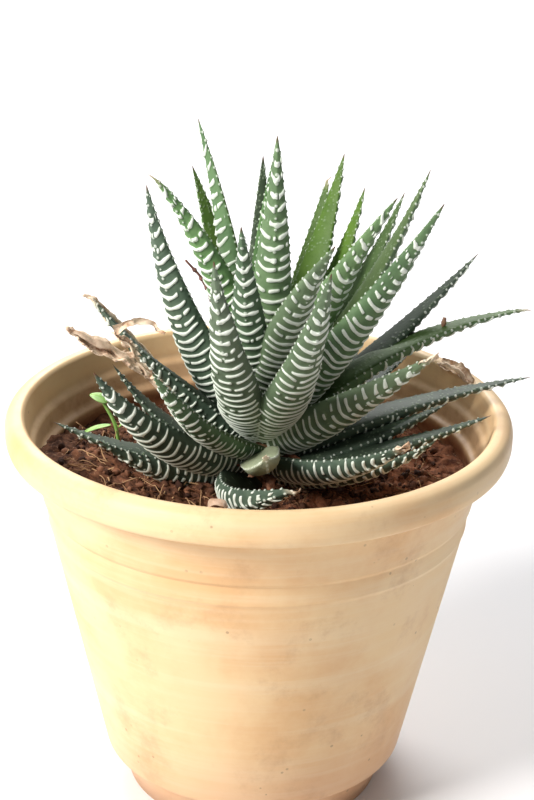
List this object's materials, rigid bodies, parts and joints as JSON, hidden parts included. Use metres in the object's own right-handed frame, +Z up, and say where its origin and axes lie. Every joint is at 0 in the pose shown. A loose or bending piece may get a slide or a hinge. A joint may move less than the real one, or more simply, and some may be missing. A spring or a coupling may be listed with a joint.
{
  "type": "potted haworthia",
  "caption": "Zebra haworthia rosette of pointed, white-banded leaves growing in a round tapered plastic nursery pot with soil, a dry flower stalk and a small seedling.",
  "frame": {"origin": "centre of the pot's flat bottom, where it rests", "axes": "+Z up out of the pot, -Y towards the front"},
  "size_m": [0.135, 0.13, 0.179],
  "materials": {
    "pot_plastic": "sun-faded terracotta-coloured plastic, blotched cream and orange",
    "soil_mix": "reddish-brown coco-peat crumbs and fibres",
    "stem_bark": "dull stem wrapped in old leaf bases",
    "leaf_skin": "satin dark green skin with raised white bands and dots",
    "dry_stalk": "dry, matt, reddish brown",
    "seedling_skin": "soft light green, slightly translucent"
  },
  "bodies": {
    "root": {"dried_flower_stalk": "dry_stalk", "leaf_crown_01": "leaf_skin", "leaf_crown_02": "leaf_skin", "leaf_crown_03": "leaf_skin", "leaf_crown_04": "leaf_skin", "leaf_crown_05": "leaf_skin", "leaf_crown_06": "leaf_skin", "leaf_crown_07": "leaf_skin", "leaf_crown_08": "leaf_skin", "leaf_crown_09": "leaf_skin", "leaf_inner_01": "leaf_skin", "leaf_inner_02": "leaf_skin", "leaf_inner_03": "leaf_skin", "leaf_inner_04": "leaf_skin", "leaf_inner_05": "leaf_skin", "leaf_inner_06": "leaf_skin", "leaf_inner_07": "leaf_skin", "leaf_inner_08": "leaf_skin", "leaf_inner_09": "leaf_skin", "leaf_lower_01": "leaf_skin", "leaf_lower_02": "leaf_skin", "leaf_lower_03": "leaf_skin", "leaf_lower_04": "leaf_skin", "leaf_lower_05": "leaf_skin", "leaf_lower_06": "leaf_skin", "leaf_lower_07": "leaf_skin", "leaf_lower_08": "leaf_skin", "leaf_lower_09": "leaf_skin", "leaf_lower_10": "leaf_skin", "leaf_lower_11": "leaf_skin", "leaf_lower_12": "leaf_skin", "leaf_lower_13": "leaf_skin", "leaf_lower_14": "leaf_skin", "leaf_middle_01": "leaf_skin", "leaf_middle_02": "leaf_skin", "leaf_middle_03": "leaf_skin", "leaf_middle_04": "leaf_skin", "leaf_middle_05": "leaf_skin", "leaf_middle_06": "leaf_skin", "leaf_middle_07": "leaf_skin", "leaf_middle_08": "leaf_skin", "leaf_middle_09": "leaf_skin", "leaf_middle_10": "leaf_skin", "leaf_middle_11": "leaf_skin", "pot": "pot_plastic", "seedling_leaf_01": "seedling_skin", "seedling_leaf_02": "seedling_skin", "seedling_leaf_03": "seedling_skin", "seedling_stem": "seedling_skin", "soil": "soil_mix", "stem": "stem_bark"}
  },
  "joints": []
}
